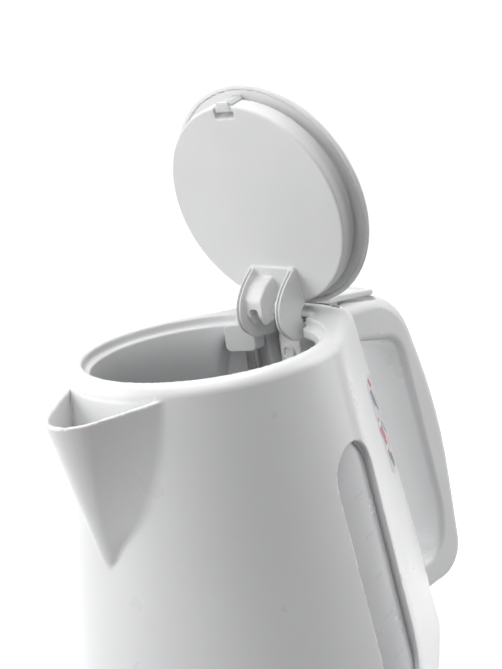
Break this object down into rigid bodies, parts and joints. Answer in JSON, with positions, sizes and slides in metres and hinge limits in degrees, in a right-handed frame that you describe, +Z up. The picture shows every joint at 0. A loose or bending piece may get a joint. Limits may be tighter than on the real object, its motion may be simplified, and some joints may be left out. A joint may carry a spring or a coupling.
{
  "type": "electric kettle",
  "caption": "Cordless electric kettle with open hinged lid, V-shaped pouring beak, closed loop handle, side water windows and round power base.",
  "frame": {"origin": "centre of the underside of the power base, on the surface the kettle stands on", "axes": "+Z up, the handle towards +X, the pouring beak towards -X, and the XZ plane is the middle plane of kettle and handle"},
  "size_m": [0.2393, 0.1608, 0.3106],
  "materials": {
    "white_shell": "white moulded polypropylene, satin gloss",
    "white_inner": "white moulded polypropylene, matt",
    "gauge": "translucent grey-white, smooth",
    "badge": "printed label with plain red and slate blocks",
    "filter_cloth": "fine nylon mesh",
    "steel": "brushed",
    "steam_pipe": "drawn tube",
    "brass": "bright",
    "rubber": "matt grey",
    "silicone": "white silicone",
    "black_plastic": "black heat-resistant plastic",
    "aluminium": "cast"
  },
  "bodies": {
    "power_base": {"base_cover": "white_shell", "base_plate": "white_shell", "base_connector": "black_plastic", "base_contacts": "brass", "base_feet": "rubber", "base_screws": "steel"},
    "connector": {"kettle_connector": "black_plastic"},
    "kettle": {"body_shell": "white_shell", "handle_inner": "white_shell", "handle_cover": "white_shell", "handle_screws": "steel", "water_gauge_right": "gauge", "water_gauge_left": "gauge", "handle_badge": "badge", "filter_frame": "white_inner", "filter_mesh": "filter_cloth", "hinge_bracket": "white_inner", "hinge_pin": "steel", "lid_spring": "steel", "steam_hood": "white_inner", "steam_tube": "steam_pipe", "lever_pin": "steel", "floor_plate": "steel", "floor_seal": "silicone", "tube_grommet": "silicone", "clamp_ring": "white_inner", "heat_spreader": "aluminium", "heating_element": "aluminium", "control_body": "black_plastic", "control_screws": "steel", "steam_disc": "brass", "bottom_cover": "white_shell", "bottom_screws": "steel", "switch_pin": "steel"},
    "lid": {"lid_cover": "white_shell", "lid_inner": "white_inner", "lid_hinge": "white_inner"},
    "catch": {"lid_catch": "white_inner"},
    "lever": {"lid_lever": "white_shell"},
    "switch": {"switch_lever": "white_shell"},
    "link": {"switch_link": "white_inner"}
  },
  "joints": [
    {"name": "lift_off", "type": "slide", "parent": "power_base", "child": "connector", "axis": [0, 0, 1], "range_m": [0, 0.06]},
    {"name": "swivel", "type": "hinge", "parent": "connector", "child": "kettle", "pos_m": [0, 0, 0.033], "axis": [0, 0, 1], "continuous": true},
    {"name": "lid_swing", "type": "hinge", "parent": "kettle", "child": "lid", "pos_m": [0.0598, 0, 0.1984], "axis": [0, 1, 0], "range_deg": [-75.6, 0], "stiffness_Nm_per_rad": 0.06, "springref_deg": 31.51},
    {"name": "catch_press", "type": "slide", "parent": "lid", "child": "catch", "axis": [0.2487, 0, -0.9686], "range_m": [0, 0.0015], "stiffness_N_per_m": 300, "springref_m": -0.001},
    {"name": "lever_press", "type": "hinge", "parent": "kettle", "child": "lever", "pos_m": [0.077, 0, 0.2014], "axis": [0, 1, 0], "range_deg": [0, 3.2], "stiffness_Nm_per_rad": 0.5, "springref_deg": -3.44},
    {"name": "switch_rock", "type": "hinge", "parent": "kettle", "child": "switch", "pos_m": [0.104, 0, 0.031], "axis": [0, 1, 0], "range_deg": [0, 12]},
    {"name": "link_slide", "type": "slide", "parent": "kettle", "child": "link", "axis": [1, 0, 0], "range_m": [0, 0.0014]}
  ],
  "couplings": [
    {"joint": "link_slide", "follows": "switch_rock", "m_per_rad": 0.0063}
  ]
}
